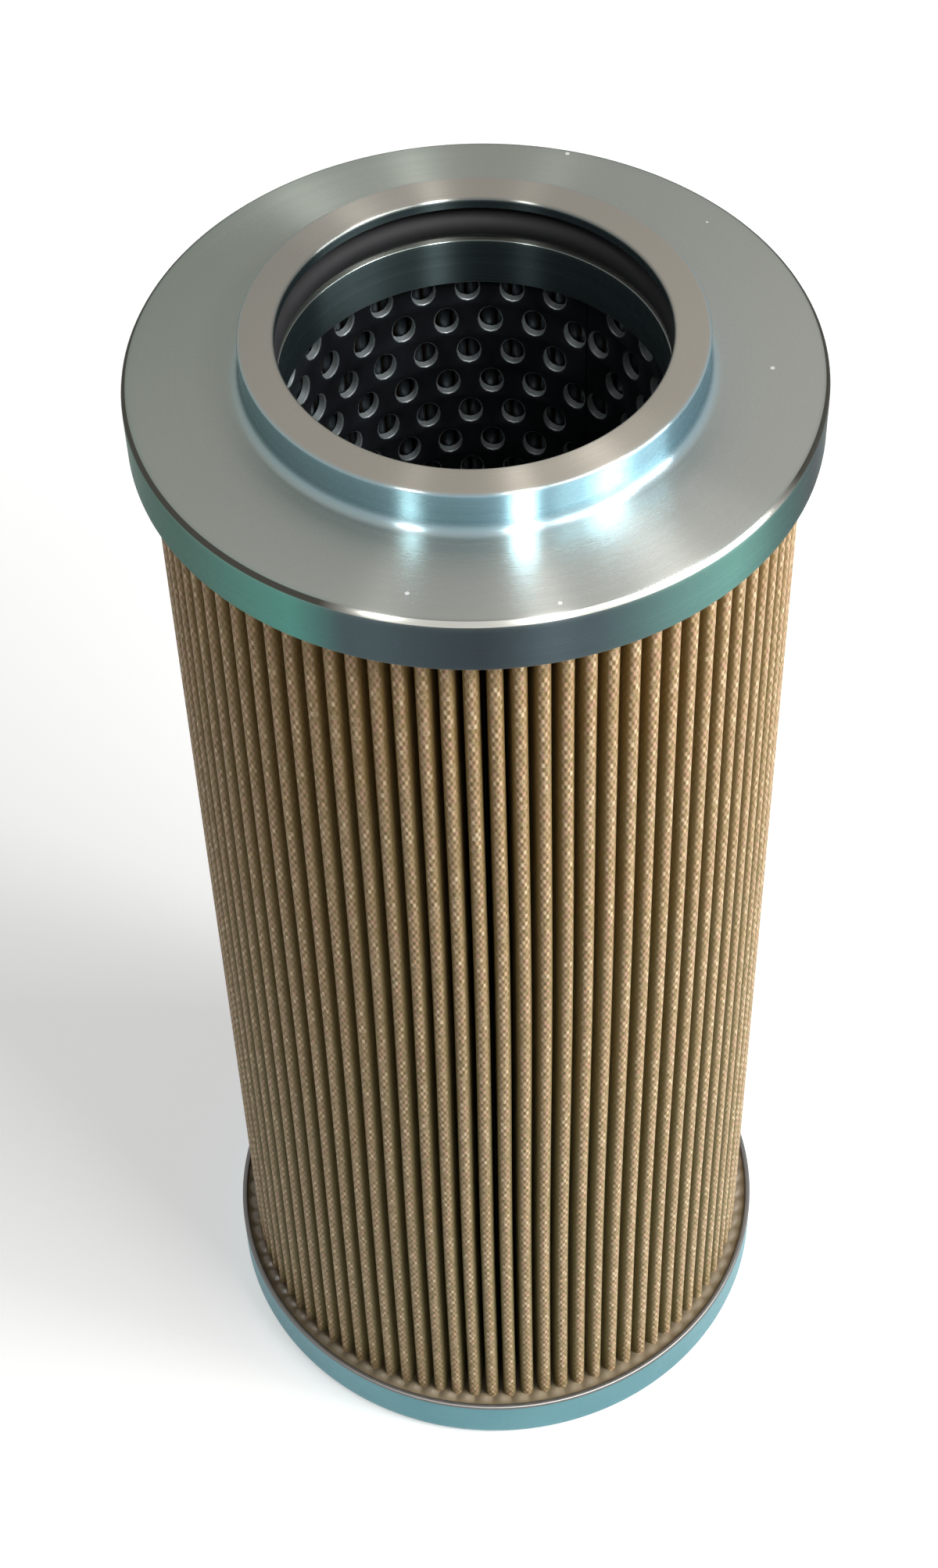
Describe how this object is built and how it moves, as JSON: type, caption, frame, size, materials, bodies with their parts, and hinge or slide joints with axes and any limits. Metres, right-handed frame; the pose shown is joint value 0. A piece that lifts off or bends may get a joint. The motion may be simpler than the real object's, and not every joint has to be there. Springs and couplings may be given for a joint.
{
  "type": "pleated filter element",
  "caption": "Cylindrical pleated wire-mesh filter element with metal end caps, a perforated support tube and a raised collar whose bore holds a sealing ring.",
  "frame": {"origin": "middle of the foot, on the surface that the element stands on", "axes": "+Z along the element's axis, from the foot to the collar; X and Y across it"},
  "size_m": [0.095, 0.095, 0.2205],
  "materials": {
    "plated_steel": "turned steel, zinc plated, satin",
    "plated_sheet": "pressed sheet, blue zinc plated",
    "tube_steel": "dark oiled steel sheet, pierced and rolled",
    "mesh_media": "woven bronze-coloured wire cloth, folded",
    "adhesive": "amber cast adhesive",
    "ring_rubber": "black nitrile"
  },
  "bodies": {
    "root": {"upper_end_cap": "plated_steel", "lower_end_cap": "plated_sheet", "support_tube": "tube_steel", "pleat_pack": "mesh_media", "upper_bed": "adhesive", "lower_bed": "adhesive", "o_ring": "ring_rubber"}
  },
  "joints": []
}
